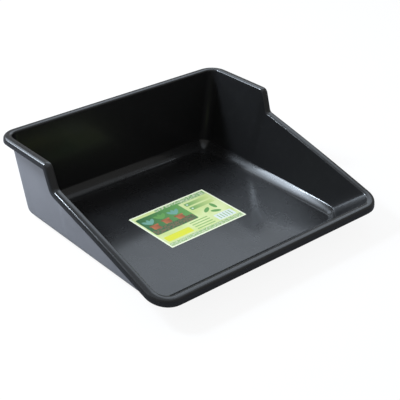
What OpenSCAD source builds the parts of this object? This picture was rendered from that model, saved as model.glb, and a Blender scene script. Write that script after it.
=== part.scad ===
// Potting tray: a one-piece moulding with a high back, stepped and sloping side walls and a
// low front lip, all edged by one rolled rim, and a printed label stuck on its floor.
// Millimetres. The origin is under the middle of the tray, on the ground: +X right, +Y to the
// back, +Z up.

/* [Tray] */
// Width over the rim
tray_w = 605; // [540:1:680]
// Depth over the rim
tray_d = 552; // [480:1:640]
// Height of the back rim
tray_h = 200; // [185:1:230]
// Height of the front lip
lip_h = 61; // [48:1:72]
// Thickness of the plastic
wall_t = 3; // [2:0.1:4]
// Plan radius of the rim's back corners, outside
corner_back_r = 42; // [36:1:60]
// Plan radius of the rim's front corners, outside
corner_front_r = 46; // [45:0.5:75]

/* [Side profile] */
// Length of the level rim, from the back to where the step begins
shoulder_len = 190; // [150:1:220]
// Run of the step, front to back
step_run = 17; // [12:1:26]
// Drop of the step
step_drop = 51.5; // [35:0.5:65]
// Radius of the outward bend at the top of the step
shoulder_r = 15; // [15:0.5:24]
// Radius of the inward bend at the foot of the step
knee_r = 10; // [6:0.5:16]
// How far the slope bows above a straight line
slope_bow = 2.4; // [0:0.1:5]
// How far each side wall is drawn in at the foot of the step
knee_tuck = 2; // [0:0.5:8]

/* [Rim] */
// Width of the rim, from the walls' inner faces to its outer edge
rim_w = 19; // [16:0.5:24]
// Depth of the rim's turned-down edge
skirt_h = 12.6; // [11:0.1:14]
// Depth of the turned-down edge along the front lip
skirt_front_h = 15.9; // [12:0.1:17]
// Radius of the bend from the walls to the rim
bend_in_r = 4; // [3:0.5:5]
// Radius of the bend from the rim to its turned-down edge
bend_out_r = 6; // [5:0.5:7]
// How far the turned-down edge flares out
skirt_flare = 0.6; // [0:0.1:1.2]
// Rise of the rim's top along its middle
rim_crown = 0.5; // [0:0.1:1]

/* [Base] */
// Width of the flat base
base_w = 478; // [440:1:500]
// From the back of the rim to the flat base
base_back = 41; // [34:0.5:50]
// From the front of the rim to the flat base
base_front = 82.8; // [75:0.1:100]
// Plan radius of the flat base's back corners
base_back_r = 5; // [4:1:14]
// Plan radius of the flat base's front corners
base_front_r = 22; // [10:1:40]
// Outer radius between the base and the walls
foot_r = 24; // [14:0.5:28]

/* [Label] */
// Width of the label
label_w = 210; // [148:1:297]
// Depth of the label
label_d = 148; // [105:1:210]
// Thickness of the label
label_t = 0.4; // [0.2:0.1:0.8]
// Plan radius of the label's corners
label_r = 2; // [1:0.5:6]
// Places of the label's middle, right of and behind the tray's middle
label_x = -1; // [-40:1:40]
label_y = 10; // [-30:1:40]
// How far the label is turned out of square
label_turn = 0.7; // [-5:0.1:5]

/* [Hidden] */

// Steps along the path of the rim
CORNER_STEPS = 9;
SHOULDER_STEPS = 7;
KNEE_STEPS = 5;
SLOPE_STEPS = 11;
LEVEL_STEPS = 4;
// Stations along the back and along the front
ACROSS_STEPS = 6;
// Steps across the section of the wall
BEND_STEPS = 4;
TOP_STEPS = 4;
FOOT_STEPS = 5;
WALL_STEPS = 3;
$fn = 32;

// The rim's path runs along the walls' inner faces, and its top swells above the path
path_z = tray_h - rim_crown;
lip_z = lip_h - rim_crown;
path_x = tray_w / 2 - rim_w;
path_y = tray_d / 2 - rim_w;
back_r = corner_back_r - rim_w;
front_r = corner_front_r - rim_w;

// Ends of the straight sides of the path, and of the flat base
back_end = path_y - back_r;
front_end = path_y - front_r;
base_x = base_w / 2;
base_back_y = tray_d / 2 - base_back;
base_front_y = tray_d / 2 - base_front;
base_back_end = base_back_y - base_back_r;
base_front_end = base_front_y - base_front_r;

// Side profile, from the back to the front: the step's top and foot as sharp corners
step_y = tray_d / 2 - shoulder_len;
knee_y = step_y - step_run;
knee_z = path_z - step_drop;
step_tilt = atan2(step_drop, step_run);
slope_run = knee_y + path_y;
slope_rise = knee_z - lip_z;
// The slope's tilt where it leaves the knee, and at any place along it
function slope_share(y) = (y + path_y) / slope_run;
function slope_z(y) = lip_z + slope_rise * slope_share(y)
    + 4 * slope_bow * slope_share(y) * (1 - slope_share(y));
function slope_tilt(y) =
    atan((slope_rise + 4 * slope_bow * (1 - 2 * slope_share(y))) / slope_run);
knee_tilt = slope_tilt(knee_y);

// Where the two bends of the step begin and end
shoulder_cut = shoulder_r * tan(step_tilt / 2);
knee_cut = knee_r * tan((step_tilt - knee_tilt) / 2);
shoulder_mid = [step_y + shoulder_cut, path_z - shoulder_r];
knee_start = [knee_y + knee_cut * cos(step_tilt), knee_z + knee_cut * sin(step_tilt)];
knee_mid = knee_start + knee_r * [-sin(step_tilt), cos(step_tilt)];
slope_start = knee_mid[0] + knee_r * sin(knee_tilt);

// One side of the rim from the back to the front: place, height and tilt
function side_profile() = concat(
    [for (i = [0 : LEVEL_STEPS - 1])
        [back_end + (shoulder_mid[0] - back_end) * i / LEVEL_STEPS, path_z, 0]],
    [for (i = [0 : SHOULDER_STEPS])
        let (a = step_tilt * i / SHOULDER_STEPS)
        [shoulder_mid[0] - shoulder_r * sin(a), shoulder_mid[1] + shoulder_r * cos(a), a]],
    [for (i = [0 : KNEE_STEPS - 1])
        let (a = step_tilt + (knee_tilt - step_tilt) * i / KNEE_STEPS)
        [knee_mid[0] + knee_r * sin(a), knee_mid[1] - knee_r * cos(a), a]],
    [for (i = [0 : SLOPE_STEPS])
        let (y = slope_start - (slope_start + front_end) * i / SLOPE_STEPS)
        [y, slope_z(y), slope_tilt(y)]]
);
SIDE = side_profile();

// How far the side wall is drawn in at a place along it
function tuck_at(y, z) = z > knee_z
    ? knee_tuck * (path_z - z) / step_drop
    : knee_tuck * max(0, y + front_end) / (knee_y + front_end);

// The same share of the straight side, along the flat base
function base_side_y(y) = -base_front_end
    + (y + front_end) / (back_end + front_end) * (base_back_end + base_front_end);

// Depth of the turned-down edge, which grows round the front corners
function skirt_at(y) = skirt_h + (skirt_front_h - skirt_h) * max(0, -y - front_end) / front_r;

// A station: point on the path, outward direction, tilt of the path, point of the flat base
function side_station(row, side) = [
    [side * (path_x - tuck_at(row[0], row[1])), row[0], row[1]],
    [side, 0],
    [0, side * cos(row[2]), side * sin(row[2])],
    [side * base_x, base_side_y(row[0])]
];
function back_corner(a, side) = [
    [side * (path_x - back_r + back_r * cos(a)), back_end + back_r * sin(a), path_z],
    [side * cos(a), sin(a)],
    [-sin(a), side * cos(a), 0],
    [side * (base_x - base_back_r + base_back_r * cos(a)),
        base_back_end + base_back_r * sin(a)]
];
function back_station(share) = [
    [share * (path_x - back_r), path_y, path_z],
    [0, 1],
    [-1, 0, 0],
    [share * (base_x - base_back_r), base_back_y]
];
function front_station(share) = [
    [share * (path_x - front_r), -path_y, lip_z],
    [0, -1],
    [1, 0, 0],
    [share * (base_x - base_front_r), -base_front_y]
];
function front_corner(a, side) =
    let (y = -front_end - front_r * sin(a), t = side * cos(a) * tan(slope_tilt(y)))
    [
        [side * (path_x - front_r + front_r * cos(a)), y, slope_z(y)],
        [side * cos(a), -sin(a)],
        [sin(a), side * cos(a), t] / norm([1, t]),
        [side * (base_x - base_front_r + base_front_r * cos(a)),
            -base_front_end - base_front_r * sin(a)]
    ];

// All stations in turn: right side from the front, back, left side from the back, front
TURN = [for (i = [1 : CORNER_STEPS]) 90 * i / CORNER_STEPS];
ACROSS = [for (i = [1 : ACROSS_STEPS]) cos(180 * i / (ACROSS_STEPS + 1))];
function reversed(list) = [for (i = [len(list) - 1 : -1 : 0]) list[i]];
STATIONS = concat(
    [for (row = reversed(SIDE)) side_station(row, 1)],
    [for (a = TURN) back_corner(a, 1)],
    [for (share = ACROSS) back_station(share)],
    [for (a = reversed(TURN)) back_corner(a, -1)],
    [for (row = SIDE) side_station(row, -1)],
    [for (a = TURN) front_corner(a, -1)],
    [for (share = reversed(ACROSS)) front_station(share)],
    [for (a = reversed(TURN)) front_corner(a, 1)]
);

// Lean of the wall from upright, so that it is tangent to the foot's round and the rim's bend
foot_in_r = foot_r - wall_t;
function lean_of(reach, rise) =
    atan2(reach, rise) - asin((foot_in_r + bend_in_r) / norm([reach, rise]));

// The rim's top lies between its two bends, and swells above the path's height by its crown
top_end = rim_w - skirt_flare - bend_out_r;
top_len = top_end - bend_in_r;

// The rim's section, as [out, down] from the path: the seen side, then the underside
function rim_section(lean, skirt) = concat(
    [for (i = [0 : BEND_STEPS])
        let (a = lean + (90 - lean) * i / BEND_STEPS)
        bend_in_r * [1 - cos(a), 1 - sin(a)]],
    [for (k = [1 : TOP_STEPS - 1])
        [bend_in_r + top_len * k / TOP_STEPS, -rim_crown * sin(180 * k / TOP_STEPS)]],
    [for (i = [0 : BEND_STEPS])
        let (a = 90 * i / BEND_STEPS)
        [top_end + bend_out_r * sin(a), bend_out_r * (1 - cos(a))]],
    [
        [rim_w, skirt - wall_t / 4],
        [rim_w - wall_t / 4, skirt],
        [rim_w - wall_t * 3 / 4, skirt],
        [rim_w - wall_t, skirt - wall_t / 4]
    ],
    [for (i = [BEND_STEPS : -2 : 0])
        let (a = 90 * i / BEND_STEPS, r = bend_out_r - wall_t)
        [top_end + r * sin(a), wall_t + r * (1 - cos(a))]],
    [
        bend_in_r * [1 - cos(lean), 1 - sin(lean)] + wall_t * [cos(lean), sin(lean)]
            + [wall_t / 2, max(0, wall_t - bend_in_r * (1 - sin(lean)) - wall_t * sin(lean))],
        bend_in_r * [1 - cos(lean), 1 - sin(lean)] + wall_t * [cos(lean), sin(lean)]
    ]
);

// Sections of one station, as points in space
function station_points(st) =
    let (
        p = st[0],
        n = [st[1][0], st[1][1], 0],
        b = cross(n, st[2]),
        c = [st[3][0], st[3][1], foot_r],
        reach = (p - c) * n + bend_in_r,
        lean = lean_of(reach, p[2] - bend_in_r - foot_r),
        edge_lean = atan(tan(lean) * b[2]),
        rim = [for (q = rim_section(edge_lean, skirt_at(p[1]))) p + q[0] * n - q[1] * b],
        floor_round = [for (i = [0 : FOOT_STEPS])
            let (a = (90 - lean) * i / FOOT_STEPS)
            c + foot_in_r * (sin(a) * n - cos(a) * [0, 0, 1])],
        base_round = [for (i = [FOOT_STEPS : -1 : 0])
            let (a = (90 - lean) * i / FOOT_STEPS)
            c + foot_r * (sin(a) * n - cos(a) * [0, 0, 1])],
        inner_top = rim[0],
        outer_top = rim[len(rim) - 1],
        inner_foot = floor_round[FOOT_STEPS],
        outer_foot = base_round[0]
    )
    concat(
        floor_round,
        [for (k = [1 : WALL_STEPS]) inner_foot + (inner_top - inner_foot) * k / (WALL_STEPS + 1)],
        rim,
        [for (k = [1 : WALL_STEPS]) outer_top + (outer_foot - outer_top) * k / (WALL_STEPS + 1)],
        base_round
    );

// A closed skin over rings of points. Strips from side to side close its floor and its base.
// They begin at the rings from first to last, and the numbers of a ring and of its mirror
// image add to sum. The two end strips take in every ring along the front and the back
module ring_solid(rings, first, last, sum) {
    rows = len(rings);
    cols = len(rings[0]);
    skin = [for (i = [0 : rows - 1], j = [0 : cols - 2], half = [0, 1])
        let (a = i * cols + j, b = ((i + 1) % rows) * cols + j)
        half == 0 ? [a, b + 1, a + 1] : [a, b, b + 1]];
    strips = concat(
        [[for (k = [sum - first - 1 : rows + first + 1]) (k % rows) * cols]],
        [for (i = [first + 1 : last - 1])
            [for (k = [i, i + 1, sum - i - 1, sum - i]) ((k + rows) % rows) * cols]],
        [[for (k = [last : sum - last]) k * cols]]
    );
    polyhedron(
        points = [for (ring = rings, q = ring) q],
        faces = concat(
            skin,
            [for (s = strips) reversed(s)],
            [for (s = strips) [for (k = s) k + cols - 1]]
        ),
        convexity = 6
    );
}

module tray() {
    color([0.09, 0.09, 0.1])
        ring_solid(
            [for (st = STATIONS) station_points(st)],
            first = -CORNER_STEPS,
            last = len(SIDE) + CORNER_STEPS - 2,
            sum = 2 * (len(SIDE) + CORNER_STEPS) + ACROSS_STEPS - 1
        );
}

module label() {
    color([0.72, 0.8, 0.45])
        translate([label_x, label_y, wall_t])
            rotate([0, 0, label_turn])
                linear_extrude(label_t)
                    hull()
                        for (sx = [-1, 1], sy = [-1, 1])
                            translate([sx * (label_w / 2 - label_r), sy * (label_d / 2 - label_r)])
                                circle(label_r);
}

tray();
label();
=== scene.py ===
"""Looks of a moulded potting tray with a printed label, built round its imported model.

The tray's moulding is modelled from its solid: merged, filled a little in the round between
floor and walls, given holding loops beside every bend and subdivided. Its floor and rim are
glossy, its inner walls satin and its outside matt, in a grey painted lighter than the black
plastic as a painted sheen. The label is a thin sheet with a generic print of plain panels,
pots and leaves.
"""

import logging
import math
from dataclasses import dataclass, field
from enum import Enum
from typing import Sequence

import bmesh
import bpy
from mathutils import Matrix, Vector

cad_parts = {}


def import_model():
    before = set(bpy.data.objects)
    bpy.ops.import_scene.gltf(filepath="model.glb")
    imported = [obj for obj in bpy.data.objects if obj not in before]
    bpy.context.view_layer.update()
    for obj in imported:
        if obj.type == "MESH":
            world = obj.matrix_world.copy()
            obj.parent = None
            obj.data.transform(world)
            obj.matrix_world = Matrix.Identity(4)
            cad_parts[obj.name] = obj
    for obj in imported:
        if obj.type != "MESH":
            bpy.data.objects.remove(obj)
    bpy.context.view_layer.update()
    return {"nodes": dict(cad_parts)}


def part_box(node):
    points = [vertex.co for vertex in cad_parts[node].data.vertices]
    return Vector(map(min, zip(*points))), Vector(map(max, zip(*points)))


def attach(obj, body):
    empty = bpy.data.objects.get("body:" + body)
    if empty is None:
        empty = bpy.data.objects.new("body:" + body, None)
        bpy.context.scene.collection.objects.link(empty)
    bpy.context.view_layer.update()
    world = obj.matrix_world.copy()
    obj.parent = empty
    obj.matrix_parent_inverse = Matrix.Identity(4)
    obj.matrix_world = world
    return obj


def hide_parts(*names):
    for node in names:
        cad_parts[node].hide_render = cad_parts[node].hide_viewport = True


LOG = logging.getLogger("potting_tray")
BODY = "root"
FACE_ROW = "row"
POINT_ROW = "point_row"
MM = 0.001

Colour = tuple[float, float, float]
Place = tuple[float, float, float]
Flat = tuple[float, float]
Rows = dict[bmesh.types.BMVert, int]
COOL: Colour = (0.77, 0.875, 1.0)


class Zone(Enum):
    """Bands of the moulding's skin, each from its first to its last row of faces.

    The rows are counted from the floor's edge outwards.
    """

    FLOOR = (0, 0)
    FLOOR_ROUND = (1, 5)
    INNER_WALL = (6, 9)
    RIM = (10, 25)
    RIM_UNDER = (26, 30)
    OUTER_WALL = (31, 34)
    BASE_ROUND = (35, 39)
    BASE = (40, 40)

    @property
    def first(self) -> int:
        """The zone's first row."""
        return self.value[0]

    def holds(self, row: int) -> bool:
        """Whether a row of faces belongs to the zone."""
        return self.value[0] <= row <= self.value[1]


class Finish(Enum):
    """The finishes of the moulding, by material slot."""

    GLOSS = 0
    SATIN = 1
    MATT = 2


FINISHES: dict[Zone, Finish] = {
    Zone.FLOOR: Finish.GLOSS,
    Zone.FLOOR_ROUND: Finish.GLOSS,
    Zone.INNER_WALL: Finish.SATIN,
    Zone.RIM: Finish.GLOSS,
    Zone.RIM_UNDER: Finish.MATT,
    Zone.OUTER_WALL: Finish.MATT,
    Zone.BASE_ROUND: Finish.MATT,
    Zone.BASE: Finish.MATT,
}


def deselect_all() -> None:
    """Leave object mode with nothing selected."""
    if bpy.context.object and bpy.context.object.mode != "OBJECT":
        bpy.ops.object.mode_set(mode="OBJECT")
    bpy.ops.object.select_all(action="DESELECT")


def make_active(piece: bpy.types.Object) -> None:
    """Select one piece alone and make it the active one.

    Args:
        piece: The piece.
    """
    deselect_all()
    piece.select_set(True)
    bpy.context.view_layer.objects.active = piece


def apply_modifiers(piece: bpy.types.Object) -> None:
    """Apply every modifier of a piece in order.

    Args:
        piece: The piece.
    """
    make_active(piece)
    for modifier in list(piece.modifiers):
        bpy.ops.object.modifier_apply(modifier=modifier.name)


def add_plane(name: str, size: Flat) -> bpy.types.Object:
    """Add a plane at the origin as the active object, sized in its mesh.

    Args:
        name: The plane's name.
        size: Its width and depth.

    Returns:
        The plane, selected alone.
    """
    deselect_all()
    bpy.ops.mesh.primitive_plane_add(size=1.0, location=(0.0, 0.0, 0.0))
    plane = bpy.context.active_object
    plane.name = name
    plane.scale = (*size, 1.0)
    bpy.ops.object.transform_apply(location=False, rotation=False, scale=True)
    return plane


class NodeSketch:
    """A short hand for drawing a material's or the world's node tree."""

    def __init__(self, tree: bpy.types.NodeTree) -> None:
        """Start from an empty tree."""
        self.tree = tree
        tree.nodes.clear()

    def node(self, kind: str, **settings: object) -> bpy.types.Node:
        """Add a node and set its properties.

        Args:
            kind: The node's type.
            **settings: The properties' values by name.

        Returns:
            The node.
        """
        made = self.tree.nodes.new(kind)
        for name, value in settings.items():
            setattr(made, name, value)
        return made

    def feed(self, socket: bpy.types.NodeSocket, value: object) -> None:
        """Link a socket to another one, or set it to a plain value.

        Args:
            socket: The input to feed.
            value: An output socket, a number, a vector or a colour.
        """
        if isinstance(value, bpy.types.NodeSocket):
            self.tree.links.new(value, socket)
        elif isinstance(value, tuple) and len(value) == 3 and len(socket.default_value) == 4:
            socket.default_value = (*value, 1.0)
        else:
            socket.default_value = value

    def math(self, operation: str, *values: object) -> bpy.types.NodeSocket:
        """Add a Math node.

        Args:
            operation: What it does.
            *values: Its inputs in order.

        Returns:
            Its output.
        """
        made = self.node("ShaderNodeMath", operation=operation)
        for socket, value in zip(made.inputs, values):
            self.feed(socket, value)
        return made.outputs[0]

    def vector(self, operation: str, *values: object) -> bpy.types.NodeSocket:
        """Add a Vector Math node.

        Args:
            operation: What it does.
            *values: Its inputs in order.

        Returns:
            Its output: a number for a length, else a vector.
        """
        made = self.node("ShaderNodeVectorMath", operation=operation)
        for socket, value in zip(made.inputs, values):
            self.feed(socket, value)
        return made.outputs["Value" if operation == "LENGTH" else "Vector"]

    def mix(self, factor: object, first: object, second: object) -> bpy.types.NodeSocket:
        """Mix two colours. The node's inputs 0, 6 and 7 are those of its colour form.

        Args:
            factor: The share of the second colour.
            first: The colour at 0.
            second: The colour at 1.

        Returns:
            The mixed colour.
        """
        made = self.node("ShaderNodeMix", data_type="RGBA")
        for index, value in ((0, factor), (6, first), (7, second)):
            self.feed(made.inputs[index], value)
        return made.outputs[2]

    def ramp(self, value: object, low: float, high: float,
             start: float = 0.0, end: float = 1.0) -> bpy.types.NodeSocket:
        """Map a value's range onto another one, held at both ends.

        Args:
            value: The value.
            low: Where its range starts.
            high: Where its range ends.
            start: What the low end becomes.
            end: What the high end becomes.

        Returns:
            The mapped value.
        """
        made = self.node("ShaderNodeMapRange")
        for socket, part in zip(made.inputs, (value, low, high, start, end)):
            self.feed(socket, part)
        return made.outputs[0]

    def noise(self, place: object, scale: float, detail: float = 2.0,
              roughness: float = 0.5) -> bpy.types.NodeSocket:
        """Add a Noise texture.

        Args:
            place: The coordinates.
            scale: Its scale.
            detail: How many finer layers it has.
            roughness: How strong the finer layers are.

        Returns:
            Its value.
        """
        made = self.node("ShaderNodeTexNoise")
        self.feed(made.inputs["Vector"], place)
        self.feed(made.inputs["Scale"], scale)
        self.feed(made.inputs["Detail"], detail)
        self.feed(made.inputs["Roughness"], roughness)
        return made.outputs[0]

    def stretched(self, place: object, scale: Place = (1.0, 1.0, 1.0),
                  turn: float = 0.0) -> bpy.types.NodeSocket:
        """Scale and turn coordinates by a Mapping node.

        Args:
            place: The coordinates.
            scale: The scale along each axis.
            turn: The turn about Z in radians.

        Returns:
            The new coordinates.
        """
        made = self.node("ShaderNodeMapping")
        self.feed(made.inputs["Vector"], place)
        made.inputs["Rotation"].default_value = (0.0, 0.0, turn)
        made.inputs["Scale"].default_value = scale
        return made.outputs[0]

    def bump(self, height: object, distance: float, strength: float,
             under: object = None) -> bpy.types.NodeSocket:
        """Add a Bump node.

        Args:
            height: The height, from 0 to 1.
            distance: How far a height of 1 stands out, in metres.
            strength: The share of the bump that counts.
            under: Another bump's normal that this one lies on.

        Returns:
            The bumped normal.
        """
        made = self.node("ShaderNodeBump")
        self.feed(made.inputs["Height"], height)
        made.inputs["Distance"].default_value = distance
        made.inputs["Strength"].default_value = strength
        if under is not None:
            self.feed(made.inputs["Normal"], under)
        return made.outputs[0]


def new_material(name: str) -> tuple[bpy.types.Material, NodeSketch, bpy.types.Node]:
    """Make a material with a Principled shader on its output.

    Args:
        name: The material's name.

    Returns:
        The material, its node sketch and its shader node.
    """
    material = bpy.data.materials.new(name)
    material.use_nodes = True
    sketch = NodeSketch(material.node_tree)
    output = sketch.node("ShaderNodeOutputMaterial")
    shader = sketch.node("ShaderNodeBsdfPrincipled")
    sketch.feed(output.inputs["Surface"], shader.outputs[0])
    return material, sketch, shader


@dataclass(frozen=True)
class GlossPlastic:
    """Glossy black moulded plastic with a little waviness, dust and fine scuffs.

    Each direction of scuffs is a noise stretched by three scales and turned by an angle.
    """

    name: str = "gloss_plastic"
    colour: Colour = (0.0115, 0.0115, 0.012)
    dust: Colour = (0.014, 0.014, 0.0145)
    dust_scale: float = 60.0
    dust_range: Flat = (0.5, 0.75)
    roughness: float = 0.25
    rough_spread: float = 0.05
    cloud_scale: float = 14.0
    cloud_range: Flat = (0.3, 0.7)
    scuffs: tuple[tuple[Place, float], ...] = (((240.0, 9.0, 40.0), 0.6),
                                               ((12.0, 300.0, 40.0), 0.25))
    scuff_range: Flat = (0.66, 0.8)
    scuff_roughness: float = 0.06
    specular: float = 0.3
    shine: float = 0.75
    shine_ior: float = 1.45
    shine_roughness: float = 0.14
    wave_scale: float = 9.0
    wave_depth: float = 0.0006
    grain_scale: float = 900.0
    grain_depth: float = 0.00001
    grain_strength: float = 0.5

    def material(self) -> bpy.types.Material:
        """Draw the finish as a material.

        Returns:
            The material, on Object coordinates.
        """
        material, sketch, shader = new_material(self.name)
        place = sketch.node("ShaderNodeTexCoord").outputs["Object"]
        cloud = sketch.noise(place, self.cloud_scale, 4.0)
        scuffs = [sketch.noise(sketch.stretched(place, scale, turn), 1.0, 3.0)
                  for scale, turn in self.scuffs]
        scuffed = sketch.ramp(sketch.math("MAXIMUM", *scuffs), *self.scuff_range)
        dust = sketch.ramp(sketch.noise(place, self.dust_scale, 5.0, 0.65), *self.dust_range)
        sketch.feed(shader.inputs["Base Color"], sketch.mix(dust, self.colour, self.dust))
        rough = sketch.ramp(cloud, *self.cloud_range, self.roughness,
                            self.roughness + self.rough_spread)
        rough = sketch.math("MULTIPLY_ADD", scuffed, self.scuff_roughness, rough)
        sketch.feed(shader.inputs["Roughness"], rough)
        shader.inputs["Specular IOR Level"].default_value = self.specular
        shader.inputs["Coat Weight"].default_value = self.shine
        shader.inputs["Coat Roughness"].default_value = self.shine_roughness
        shader.inputs["Coat IOR"].default_value = self.shine_ior
        waves = sketch.bump(sketch.noise(place, self.wave_scale, 1.0), self.wave_depth, 1.0)
        grain = sketch.bump(sketch.noise(place, self.grain_scale, 2.0), self.grain_depth,
                            self.grain_strength, waves)
        sketch.feed(shader.inputs["Normal"], grain)
        sketch.feed(shader.inputs["Coat Normal"], waves)
        return material


@dataclass(frozen=True)
class MattPlasticPaintedSheen:
    """The outer side's matt, finely grained plastic, its grey lighter than black: painted sheen.
    """

    name: str = "matt_plastic_painted_sheen"
    # The grey is a painted sheen, lighter than the black plastic; the matt grain and roughness
    # are real.
    colour: Colour = (0.188, 0.186, 0.2)
    shade: Colour = (0.158, 0.156, 0.168)
    cloud_scale: float = 7.0
    cloud_range: Flat = (0.3, 0.7)
    roughness: float = 0.4
    rough_spread: float = 0.08
    specular: float = 1.0
    grain_scale: float = 1400.0
    grain_depth: float = 0.00004
    grain_strength: float = 0.6

    def material(self) -> bpy.types.Material:
        """Draw the finish as a material.

        Returns:
            The material, on Object coordinates.
        """
        material, sketch, shader = new_material(self.name)
        place = sketch.node("ShaderNodeTexCoord").outputs["Object"]
        cloud = sketch.ramp(sketch.noise(place, self.cloud_scale, 4.0), *self.cloud_range)
        sketch.feed(shader.inputs["Base Color"], sketch.mix(cloud, self.colour, self.shade))
        sketch.feed(shader.inputs["Roughness"],
                    sketch.ramp(cloud, 0.0, 1.0, self.roughness,
                                self.roughness + self.rough_spread))
        shader.inputs["Specular IOR Level"].default_value = self.specular
        grain = sketch.bump(sketch.noise(place, self.grain_scale, 2.0), self.grain_depth,
                            self.grain_strength)
        sketch.feed(shader.inputs["Normal"], grain)
        return material


@dataclass(frozen=True)
class Panel:
    """A printed rectangle with round corners, all measures in metres on the sheet.

    It fades from one colour to another along X, or is mottled with both where mottle gives
    the spots' size.
    """

    middle: Flat
    size: Flat
    colour: Colour
    fade: Colour
    corner: float = 0.0015
    mottle: float = 0.0


@dataclass(frozen=True)
class Spot:
    """A printed oval, turned about its middle."""

    middle: Flat
    size: Flat
    colour: Colour
    turn: float = 0.0


@dataclass(frozen=True)
class Inks:
    """The colours of the print."""

    dark: Colour = (0.03, 0.11, 0.04)
    leaf: Colour = (0.11, 0.28, 0.07)
    teal: Colour = (0.14, 0.31, 0.24)
    clay: Colour = (0.42, 0.13, 0.05)
    clay_dark: Colour = (0.22, 0.07, 0.03)
    soil: Colour = (0.16, 0.11, 0.06)
    white: Colour = (0.62, 0.66, 0.62)
    yellow: Colour = (0.6, 0.6, 0.03)
    pale: Colour = (0.2, 0.36, 0.1)
    cream: Colour = (0.5, 0.53, 0.36)


@dataclass(frozen=True)
class PottedPlant:
    """A printed motif: a small clay pot with three leaves that fan out."""

    left: float
    foot: float
    leaf: Colour
    leaf_size: Flat = (0.022, 0.009)
    leaf_gap: float = 0.007
    leaf_rise: float = 0.030
    lean: float = 38.0
    pot_size: Flat = (0.018, 0.017)
    pot_rise: float = 0.006
    lip_size: Flat = (0.023, 0.005)
    lip_rise: float = 0.014

    def marks(self, inks: Inks) -> list[Panel | Spot]:
        """Draw the motif.

        Args:
            inks: The print's colours.

        Returns:
            Its leaves, pot and lip, in the order in which they are printed.
        """
        leaves = [Spot((self.left + self.leaf_gap * side, self.foot + self.leaf_rise),
                       self.leaf_size, self.leaf, math.radians(90 - self.lean * side))
                  for side in (-1, 0, 1)]
        pot = Panel((self.left, self.foot + self.pot_rise), self.pot_size,
                    inks.clay, inks.clay_dark, 0.003)
        lip = Panel((self.left, self.foot + self.lip_rise), self.lip_size,
                    inks.clay_dark, inks.clay, 0.001)
        return [*leaves, pot, lip]


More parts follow.
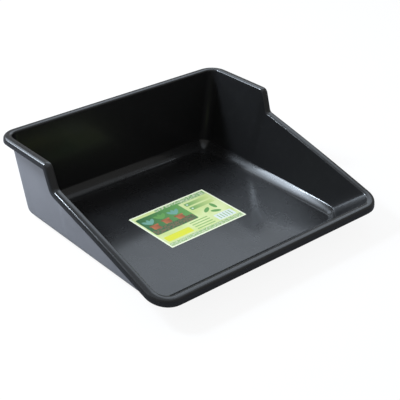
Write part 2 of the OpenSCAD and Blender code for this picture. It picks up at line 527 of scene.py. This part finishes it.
@dataclass(frozen=True)
class PrintedFilm:
    """A satin film with a generic print: panels and ovals on a pale green ground."""

    name: str = "printed_film"
    border: Colour = (0.76, 0.78, 0.58)
    ground: Colour = (0.5, 0.58, 0.21)
    ground_light: Colour = (0.62, 0.67, 0.34)
    cloud_scale: float = 18.0
    cloud_range: Flat = (0.35, 0.65)
    mottle_range: Flat = (0.46, 0.54)
    roughness: float = 0.38
    specular: float = 0.4
    ripple_scale: float = 45.0
    ripple_depth: float = 0.00012
    ripple_strength: float = 0.5
    edge: float = 0.0004

    def material(self, size: Flat, middle: Flat, turn: float,
                 marks: Sequence[Panel | Spot]) -> bpy.types.Material:
        """Draw the print as a material.

        Args:
            size: Width and depth of the sheet inside its border, in metres.
            middle: The sheet's middle in the row frame.
            turn: The sheet's turn in radians.
            marks: Panels and ovals, each printed over those before it.

        Returns:
            The material, on Object coordinates turned into the sheet's own.
        """
        material, sketch, shader = new_material(self.name)
        place = sketch.node("ShaderNodeTexCoord").outputs["Object"]
        here = sketch.vector("SUBTRACT", place, (*middle, 0.0))
        here = sketch.vector("MULTIPLY", here, (1.0, 1.0, 0.0))
        here = sketch.stretched(here, turn=-turn)
        cloud = sketch.ramp(sketch.noise(here, self.cloud_scale, 2.0), *self.cloud_range)
        colour = sketch.mix(cloud, self.ground, self.ground_light)
        inside = self.panel_mask(sketch, here, Panel((0.0, 0.0), size, self.ground, self.ground))
        colour = sketch.mix(inside, self.border, colour)
        for mark in marks:
            if isinstance(mark, Panel):
                mask = self.panel_mask(sketch, here, mark)
                ink = self.panel_ink(sketch, here, mark)
            else:
                mask = self.spot_mask(sketch, here, mark)
                ink = mark.colour
            colour = sketch.mix(mask, colour, ink)
        sketch.feed(shader.inputs["Base Color"], colour)
        shader.inputs["Roughness"].default_value = self.roughness
        shader.inputs["Specular IOR Level"].default_value = self.specular
        ripple = sketch.bump(sketch.noise(place, self.ripple_scale, 2.0), self.ripple_depth,
                             self.ripple_strength)
        sketch.feed(shader.inputs["Normal"], ripple)
        return material

    def panel_mask(self, sketch: NodeSketch, here: bpy.types.NodeSocket,
                   panel: Panel) -> bpy.types.NodeSocket:
        """Mask a round-cornered rectangle.

        Args:
            sketch: The material's node sketch.
            here: Coordinates on the sheet.
            panel: The rectangle.

        Returns:
            1 inside it and 0 outside.
        """
        half = (panel.size[0] / 2 - panel.corner, panel.size[1] / 2 - panel.corner, 1.0)
        off = sketch.vector("SUBTRACT", here, (*panel.middle, 0.0))
        off = sketch.vector("ABSOLUTE", off)
        off = sketch.vector("SUBTRACT", off, half)
        off = sketch.vector("MAXIMUM", off, (0.0, 0.0, 0.0))
        reach = sketch.vector("LENGTH", off)
        return sketch.ramp(reach, panel.corner + self.edge / 2, panel.corner - self.edge / 2)

    def spot_mask(self, sketch: NodeSketch, here: bpy.types.NodeSocket,
                  spot: Spot) -> bpy.types.NodeSocket:
        """Mask a turned oval.

        Args:
            sketch: The material's node sketch.
            here: Coordinates on the sheet.
            spot: The oval.

        Returns:
            1 inside it and 0 outside.
        """
        off = sketch.vector("SUBTRACT", here, (*spot.middle, 0.0))
        off = sketch.stretched(off, turn=-spot.turn)
        off = sketch.vector("MULTIPLY", off, (2 / spot.size[0], 2 / spot.size[1], 0.0))
        reach = sketch.vector("LENGTH", off)
        soft = self.edge / min(spot.size)
        return sketch.ramp(reach, 1.0 + soft, 1.0 - soft)

    def panel_ink(self, sketch: NodeSketch, here: bpy.types.NodeSocket,
                  panel: Panel) -> bpy.types.NodeSocket:
        """Colour a panel, from its left end to its right one or mottled all over.

        Args:
            sketch: The material's node sketch.
            here: Coordinates on the sheet.
            panel: The rectangle.

        Returns:
            The colour at each place.
        """
        if panel.mottle:
            spots = sketch.ramp(sketch.noise(here, 1.0 / panel.mottle, 3.0, 0.7),
                                *self.mottle_range)
            return sketch.mix(spots, panel.colour, panel.fade)
        along = sketch.node("ShaderNodeSeparateXYZ")
        sketch.feed(along.inputs[0], here)
        left, right = (panel.middle[0] + side * panel.size[0] / 2 for side in (-1, 1))
        share = sketch.ramp(along.outputs[0], left, right)
        return sketch.mix(share, panel.colour, panel.fade)


@dataclass
class Moulding:
    """The tray's moulding, modelled from its solid.

    The solid's skin is a grid of rows that run round the tray, from the floor's edge up the
    inside, over the rim and down the outside to the base.
    """

    node: str = "tray"
    name: str = "tray_moulding"
    wall: float = 3.0 * MM
    merge_gap: float = 0.01 * MM
    level_normal: float = 0.9999
    hold_gap: float = 1.6 * MM
    flat_hold_gap: float = 2.4 * MM
    round_fill: tuple[float, ...] = (1.3 * MM, 2.5 * MM, 2.9 * MM, 2.0 * MM)
    levels: int = 2
    gloss: GlossPlastic = field(default_factory=GlossPlastic)
    satin: GlossPlastic = field(default_factory=lambda: GlossPlastic(
        name="satin_plastic", roughness=0.3, specular=0.18, shine=0.2))
    matt: MattPlasticPaintedSheen = field(default_factory=MattPlasticPaintedSheen)

    def build(self, nodes: dict[str, bpy.types.Object]) -> bpy.types.Object:
        """Model the moulding and dress it.

        Args:
            nodes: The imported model's nodes.

        Returns:
            The finished piece.
        """
        piece = self.merged_copy(nodes[self.node])
        self.join_strips(piece)
        self.fill_floor_round(piece)
        self.hold_bends(piece)
        self.smooth(piece)
        self.dress(piece)
        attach(piece, BODY)
        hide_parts(self.node)
        return piece

    def merged_copy(self, solid: bpy.types.Object) -> bpy.types.Object:
        """Copy the solid's mesh and merge its loose triangles.

        Args:
            solid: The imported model's node.

        Returns:
            The copy, as the active object.
        """
        piece = bpy.data.objects.new(self.name, solid.data.copy())
        bpy.context.scene.collection.objects.link(piece)
        make_active(piece)
        bpy.ops.object.mode_set(mode="EDIT")
        bpy.ops.mesh.select_all(action="SELECT")
        bpy.ops.mesh.remove_doubles(threshold=self.merge_gap)
        bpy.ops.mesh.customdata_custom_splitnormals_clear()
        bpy.ops.object.mode_set(mode="OBJECT")
        return piece

    def on_floor(self, face: bmesh.types.BMFace) -> bool:
        """Whether a face lies flat on the tray's floor, inside."""
        height = face.calc_center_median().z
        return face.normal.z > self.level_normal and abs(height - self.wall) < self.merge_gap

    def row_of_points(self, mesh: bmesh.types.BMesh) -> Rows:
        """Count each point's row, from the floor's edge outwards.

        Args:
            mesh: The merged skin.

        Returns:
            Each point's row.
        """
        front = {point for face in mesh.faces if self.on_floor(face) for point in face.verts}
        rows: Rows = {}
        row = 0
        while front:
            rows.update(dict.fromkeys(front, row))
            row += 1
            front = {edge.other_vert(point) for point in front for edge in point.link_edges}
            front -= set(rows)
        return rows

    def diagonals(self, rows: Rows) -> list[bmesh.types.BMEdge]:
        """Find the edge that splits each four-sided face of the grid.

        Two edges lead from a point to the next row, and the one further round is a diagonal.

        Args:
            rows: Each point's row.

        Returns:
            The diagonals.
        """
        found = []
        for point, row in rows.items():
            ahead = [edge for edge in point.link_edges if rows[edge.other_vert(point)] == row + 1]
            if len(ahead) == 2:
                one, two = (edge.other_vert(point).co for edge in ahead)
                found.append(ahead[1] if one.x * two.y > one.y * two.x else ahead[0])
        return found

    def join_strips(self, piece: bpy.types.Object) -> None:
        """Number the rows of points and faces, and join the triangles into four-sided faces.

        Args:
            piece: The merged skin.
        """
        bpy.ops.object.mode_set(mode="EDIT")
        bpy.ops.mesh.select_mode(type="EDGE")
        bpy.ops.mesh.select_all(action="DESELECT")
        mesh = bmesh.from_edit_mesh(piece.data)
        face_row = mesh.faces.layers.int.new(FACE_ROW)
        point_row = mesh.verts.layers.int.new(POINT_ROW)
        rows = self.row_of_points(mesh)
        for point, row in rows.items():
            point[point_row] = row
        for face in mesh.faces:
            inner = min(rows[point] for point in face.verts)
            face[face_row] = Zone.FLOOR.first if self.on_floor(face) else inner + 1
        for edge in self.diagonals(rows):
            edge.select = True
        mesh.select_flush_mode()
        bmesh.update_edit_mesh(piece.data)
        bpy.ops.mesh.dissolve_edges(use_verts=False)
        for zone in (Zone.FLOOR, Zone.BASE):
            self.select_zone(piece, zone)
            bpy.ops.mesh.dissolve_faces()
        bpy.ops.object.mode_set(mode="OBJECT")

    def select_zone(self, piece: bpy.types.Object, zone: Zone) -> None:
        """Select the faces of one zone, in edit mode.

        Args:
            piece: The moulding.
            zone: The zone.
        """
        bpy.ops.mesh.select_mode(type="FACE")
        bpy.ops.mesh.select_all(action="DESELECT")
        mesh = bmesh.from_edit_mesh(piece.data)
        face_row = mesh.faces.layers.int[FACE_ROW]
        for face in mesh.faces:
            face.select = zone.holds(face[face_row])
        bmesh.update_edit_mesh(piece.data)

    def fill_floor_round(self, piece: bpy.types.Object) -> None:
        """Fatten the round between floor and walls, so that it is nearly a flat slope.

        Args:
            piece: The moulding.
        """
        make_active(piece)
        bpy.ops.object.mode_set(mode="EDIT")
        bpy.ops.mesh.select_mode(type="VERT")
        for row, fill in enumerate(self.round_fill, start=Zone.FLOOR_ROUND.first):
            bpy.ops.mesh.select_all(action="DESELECT")
            mesh = bmesh.from_edit_mesh(piece.data)
            point_row = mesh.verts.layers.int[POINT_ROW]
            for point in mesh.verts:
                point.select = point[point_row] == row
            bmesh.update_edit_mesh(piece.data)
            bpy.ops.transform.shrink_fatten(value=fill)
        bpy.ops.object.mode_set(mode="OBJECT")

    def hold_bends(self, piece: bpy.types.Object) -> None:
        """Put holding loops beside the bends, so that they keep their radius.

        Args:
            piece: The moulding.
        """
        make_active(piece)
        bpy.ops.object.mode_set(mode="EDIT")
        for zone in (Zone.INNER_WALL, Zone.OUTER_WALL, Zone.FLOOR, Zone.BASE):
            self.select_zone(piece, zone)
            bpy.ops.mesh.inset(thickness=self.hold_gap, depth=0.0)
            if zone in (Zone.FLOOR, Zone.BASE):
                bpy.ops.mesh.inset(thickness=self.flat_hold_gap, depth=0.0)
        bpy.ops.object.mode_set(mode="OBJECT")

    def smooth(self, piece: bpy.types.Object) -> None:
        """Subdivide the moulding and shade it smooth.

        Args:
            piece: The moulding.
        """
        skin = piece.modifiers.new("skin", "SUBSURF")
        skin.levels = skin.render_levels = self.levels
        apply_modifiers(piece)
        bpy.ops.object.shade_smooth()

    def dress(self, piece: bpy.types.Object) -> None:
        """Give each zone of the moulding its finish.

        Args:
            piece: The moulding.
        """
        piece.data.materials.clear()
        for finish in (self.gloss, self.satin, self.matt):
            piece.data.materials.append(finish.material())
        rows = piece.data.attributes[FACE_ROW].data
        for face in piece.data.polygons:
            row = rows[face.index].value
            zone = next(zone for zone in Zone if zone.holds(row))
            face.material_index = FINISHES[zone].value


@dataclass
class LabelSheet:
    """The printed label on the floor: a thin sheet with round corners and a plain design."""

    node: str = "label"
    name: str = "label_sheet"
    width: float = 210 * MM
    depth: float = 148 * MM
    corner: float = 2 * MM
    corner_steps: int = 5
    border: float = 3.5 * MM
    edge_round: float = 0.12 * MM
    turn: float = math.radians(0.7)
    sharp: float = math.radians(40)
    film: PrintedFilm = field(default_factory=PrintedFilm)
    inks: Inks = field(default_factory=Inks)

    def build(self) -> bpy.types.Object:
        """Model the sheet where its solid lies, and print it.

        Returns:
            The finished piece.
        """
        low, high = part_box(self.node)
        middle = (low + high) / 2
        piece = add_plane(self.name, (self.width, self.depth))
        bpy.ops.object.mode_set(mode="EDIT")
        bpy.ops.mesh.select_all(action="SELECT")
        bpy.ops.mesh.bevel(offset=self.corner, segments=self.corner_steps, affect="VERTICES")
        bpy.ops.mesh.select_all(action="SELECT")
        bpy.ops.mesh.extrude_region_move(
            TRANSFORM_OT_translate={"value": (0.0, 0.0, high.z - low.z)})
        bpy.ops.mesh.inset(thickness=self.edge_round, depth=0.0)
        bpy.ops.mesh.select_all(action="SELECT")
        bpy.ops.mesh.normals_make_consistent(inside=False)
        bpy.ops.object.mode_set(mode="OBJECT")
        piece.location = (middle.x, middle.y, low.z)
        piece.rotation_euler.z = self.turn
        bpy.ops.object.transform_apply(location=True, rotation=True, scale=True)
        bpy.ops.object.shade_smooth_by_angle(angle=self.sharp)
        printed = (self.width - 2 * self.border, self.depth - 2 * self.border)
        piece.data.materials.append(
            self.film.material(printed, (middle.x, middle.y), self.turn, self.design()))
        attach(piece, BODY)
        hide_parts(self.node)
        return piece

    def design(self) -> list[Panel | Spot]:
        """The print's marks, each printed over those before it."""
        return [*self.blocks(), *self.plants(), *self.bars(), *self.loose_leaves()]

    def blocks(self) -> list[Panel]:
        """Lay out the print's blocks of colour.

        Returns:
            Two mottled strips, the picture with its soil, two fading bars, a yellow box and a
            white one.
        """
        inks, ground = self.inks, self.film.ground
        return [
            Panel((0.000, -0.064), (0.202, 0.012), inks.pale, inks.cream, 0.001, 0.004),
            Panel((0.030, 0.062), (0.140, 0.015), inks.leaf, inks.cream, 0.001, 0.005),
            Panel((-0.040, 0.022), (0.116, 0.078), inks.dark, inks.leaf, 0.004),
            Panel((-0.040, -0.005), (0.112, 0.022), inks.soil, inks.dark, 0.004, 0.006),
            Panel((0.060, 0.041), (0.066, 0.013), inks.leaf, ground, 0.003),
            Panel((0.060, 0.022), (0.066, 0.013), inks.leaf, ground, 0.003),
            Panel((-0.060, -0.042), (0.070, 0.020), inks.yellow, inks.yellow, 0.003),
            Panel((0.070, -0.043), (0.048, 0.024), inks.white, inks.white, 0.002),
        ]

    def plants(self) -> list[Panel | Spot]:
        """Stand three potted plants in the picture.

        Returns:
            Their marks.
        """
        inks = self.inks
        row = (PottedPlant(-0.078, 0.006, inks.teal), PottedPlant(-0.044, 0.010, inks.leaf),
               PottedPlant(-0.010, 0.006, inks.teal))
        return [mark for plant in row for mark in plant.marks(inks)]

    def bars(self) -> list[Panel | Spot]:
        """Print the plain small marks.

        Returns:
            A spot on each fading bar, four lines and five upright bars.
        """
        inks = self.inks
        spots = [Spot((0.033, high), (0.005, 0.005), inks.white) for high in (0.041, 0.022)]
        lines = [Panel((0.010, -0.024 - 0.009 * index), (0.050, 0.0032), inks.pale, inks.pale,
                       0.0015) for index in range(4)]
        uprights = [Panel((0.054 + 0.008 * index, -0.043), (0.0024, 0.018), inks.pale,
                          inks.pale, 0.001) for index in range(5)]
        return [*spots, *lines, *uprights]

    def loose_leaves(self) -> list[Spot]:
        """Scatter three leaves.

        Returns:
            The leaves, each turned further than the one before.
        """
        places = ((0.052, -0.003), (0.076, 0.003), (0.066, -0.018))
        return [Spot(place, (0.024, 0.010), self.inks.leaf, math.radians(35 + 60 * index))
                for index, place in enumerate(places)]


@dataclass(frozen=True)
class Softbox:
    """A rectangular lamp that looks at a point."""

    name: str
    place: Place
    target: Place
    size: Flat
    glow: float
    colour: Colour = COOL

    def hang(self) -> None:
        """Add the lamp, with its power worked out from the glow of its surface."""
        light = bpy.data.lights.new(self.name, "AREA")
        light.shape = "RECTANGLE"
        light.size, light.size_y = self.size
        light.energy = self.glow * math.pi * self.size[0] * self.size[1]
        light.color = self.colour
        lamp = bpy.data.objects.new(self.name, light)
        bpy.context.scene.collection.objects.link(lamp)
        lamp.location = self.place
        aim = Vector(self.target) - Vector(self.place)
        lamp.rotation_euler = aim.to_track_quat("-Z", "Y").to_euler()


@dataclass(frozen=True)
class Camera:
    """The photograph's camera: its angles and distance, fitted to the tray's edges."""

    azimuth: float = -39.73
    elevation: float = 29.35
    distance: float = 2.0871
    target: Place = (-0.00685, 0.00962, 0.060)
    lens: float = 87.80
    shift: Flat = (0.0354, -0.0118)

    def set_up(self) -> None:
        """Add the camera and make it the scene's own."""
        turn, rise = math.radians(self.azimuth), math.radians(self.elevation)
        back = Vector((math.sin(turn) * math.cos(rise), -math.cos(turn) * math.cos(rise),
                       math.sin(rise)))
        data = bpy.data.cameras.new("camera")
        data.lens = self.lens
        data.shift_x, data.shift_y = self.shift
        camera = bpy.data.objects.new("camera", data)
        bpy.context.scene.collection.objects.link(camera)
        camera.location = Vector(self.target) + back * self.distance
        camera.rotation_euler = (-back).to_track_quat("-Z", "Y").to_euler()
        bpy.context.scene.camera = camera


@dataclass
class Studio:
    """A plain pale floor and surroundings, dim in reflections, and soft lamps."""

    floor_size: float = 14.0
    floor_colour: Colour = (0.86, 0.87, 0.88)
    floor_own_light: float = 0.9
    floor_mirrored: Colour = (0.13, 0.13, 0.14)
    surround: Colour = (1.0, 1.0, 0.98)
    fill: float = 0.45
    mirrored: float = 0.25
    camera: Camera = field(default_factory=Camera)
    lamps: tuple[Softbox, ...] = (
        Softbox("left_window", place=(-1.12, 1.52, 1.14), target=(0.2, 0.0, 0.05),
                size=(0.5, 0.65), glow=10.0),
        Softbox("high_back", place=(-1.1, 1.15, 1.75), target=(0.0, 0.0, 0.05),
                size=(0.4, 0.4), glow=108.0),
        Softbox("left_panel", place=(-0.72, 1.8, 1.67), target=(-0.2, 0.0, 0.0),
                size=(1.9, 1.2), glow=3.2),
        Softbox("back_panel", place=(1.34, 1.01, 1.755), target=(0.29, -0.24, 0.0),
                size=(1.85, 1.33), glow=1.45),
        Softbox("ceiling", place=(0.2, -0.4, 2.4), target=(0.0, 0.0, 0.0),
                size=(2.4, 2.4), glow=0.35),
    )

    def set_up(self) -> None:
        """Place the camera, lay the floor and light the scene."""
        self.camera.set_up()
        self.lay_floor()
        self.light_surroundings()
        for lamp in self.lamps:
            lamp.hang()
        bpy.context.scene.view_settings.view_transform = "Standard"

    def lay_floor(self) -> None:
        """Add the floor, pale to the eye and dim in reflections, with the tray's shadow on it."""
        floor = add_plane("floor", (self.floor_size, self.floor_size))
        material = bpy.data.materials.new("floor")
        material.use_nodes = True
        sketch = NodeSketch(material.node_tree)
        output = sketch.node("ShaderNodeOutputMaterial")
        diffuse = sketch.node("ShaderNodeBsdfDiffuse")
        glow = sketch.node("ShaderNodeEmission")
        path = sketch.node("ShaderNodeLightPath")
        colour = sketch.mix(path.outputs["Is Glossy Ray"], self.floor_colour, self.floor_mirrored)
        sketch.feed(diffuse.inputs["Color"], colour)
        share = sketch.math("MULTIPLY", path.outputs["Is Camera Ray"], self.floor_own_light)
        blend = sketch.node("ShaderNodeMixShader")
        for socket, value in zip(blend.inputs, (share, diffuse.outputs[0], glow.outputs[0])):
            sketch.feed(socket, value)
        sketch.feed(output.inputs["Surface"], blend.outputs[0])
        floor.data.materials.append(material)

    def light_surroundings(self) -> None:
        """Make the world white to the eye, dim in reflections and a soft fill for the rest."""
        world = bpy.data.worlds.new("surroundings")
        world.use_nodes = True
        bpy.context.scene.world = world
        sketch = NodeSketch(world.node_tree)
        output = sketch.node("ShaderNodeOutputWorld")
        background = sketch.node("ShaderNodeBackground")
        background.inputs["Color"].default_value = (*self.surround, 1.0)
        path = sketch.node("ShaderNodeLightPath")
        strength = sketch.ramp(path.outputs["Is Glossy Ray"], 0.0, 1.0, self.fill, self.mirrored)
        direct = sketch.math("MAXIMUM", path.outputs["Is Camera Ray"],
                             path.outputs["Is Transmission Ray"])
        strength = sketch.math("MAXIMUM", strength, direct)
        sketch.feed(background.inputs["Strength"], strength)
        sketch.feed(output.inputs["Surface"], background.outputs[0])


def main() -> None:
    """Build the tray and its label and set up the studio."""
    logging.basicConfig(level=logging.INFO, format="%(name)s: %(message)s")
    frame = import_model()
    Studio().set_up()
    for piece in (Moulding().build(frame["nodes"]), LabelSheet().build()):
        LOG.info("%s: %d faces", piece.name, len(piece.data.polygons))


if __name__ == "__main__":
    main()
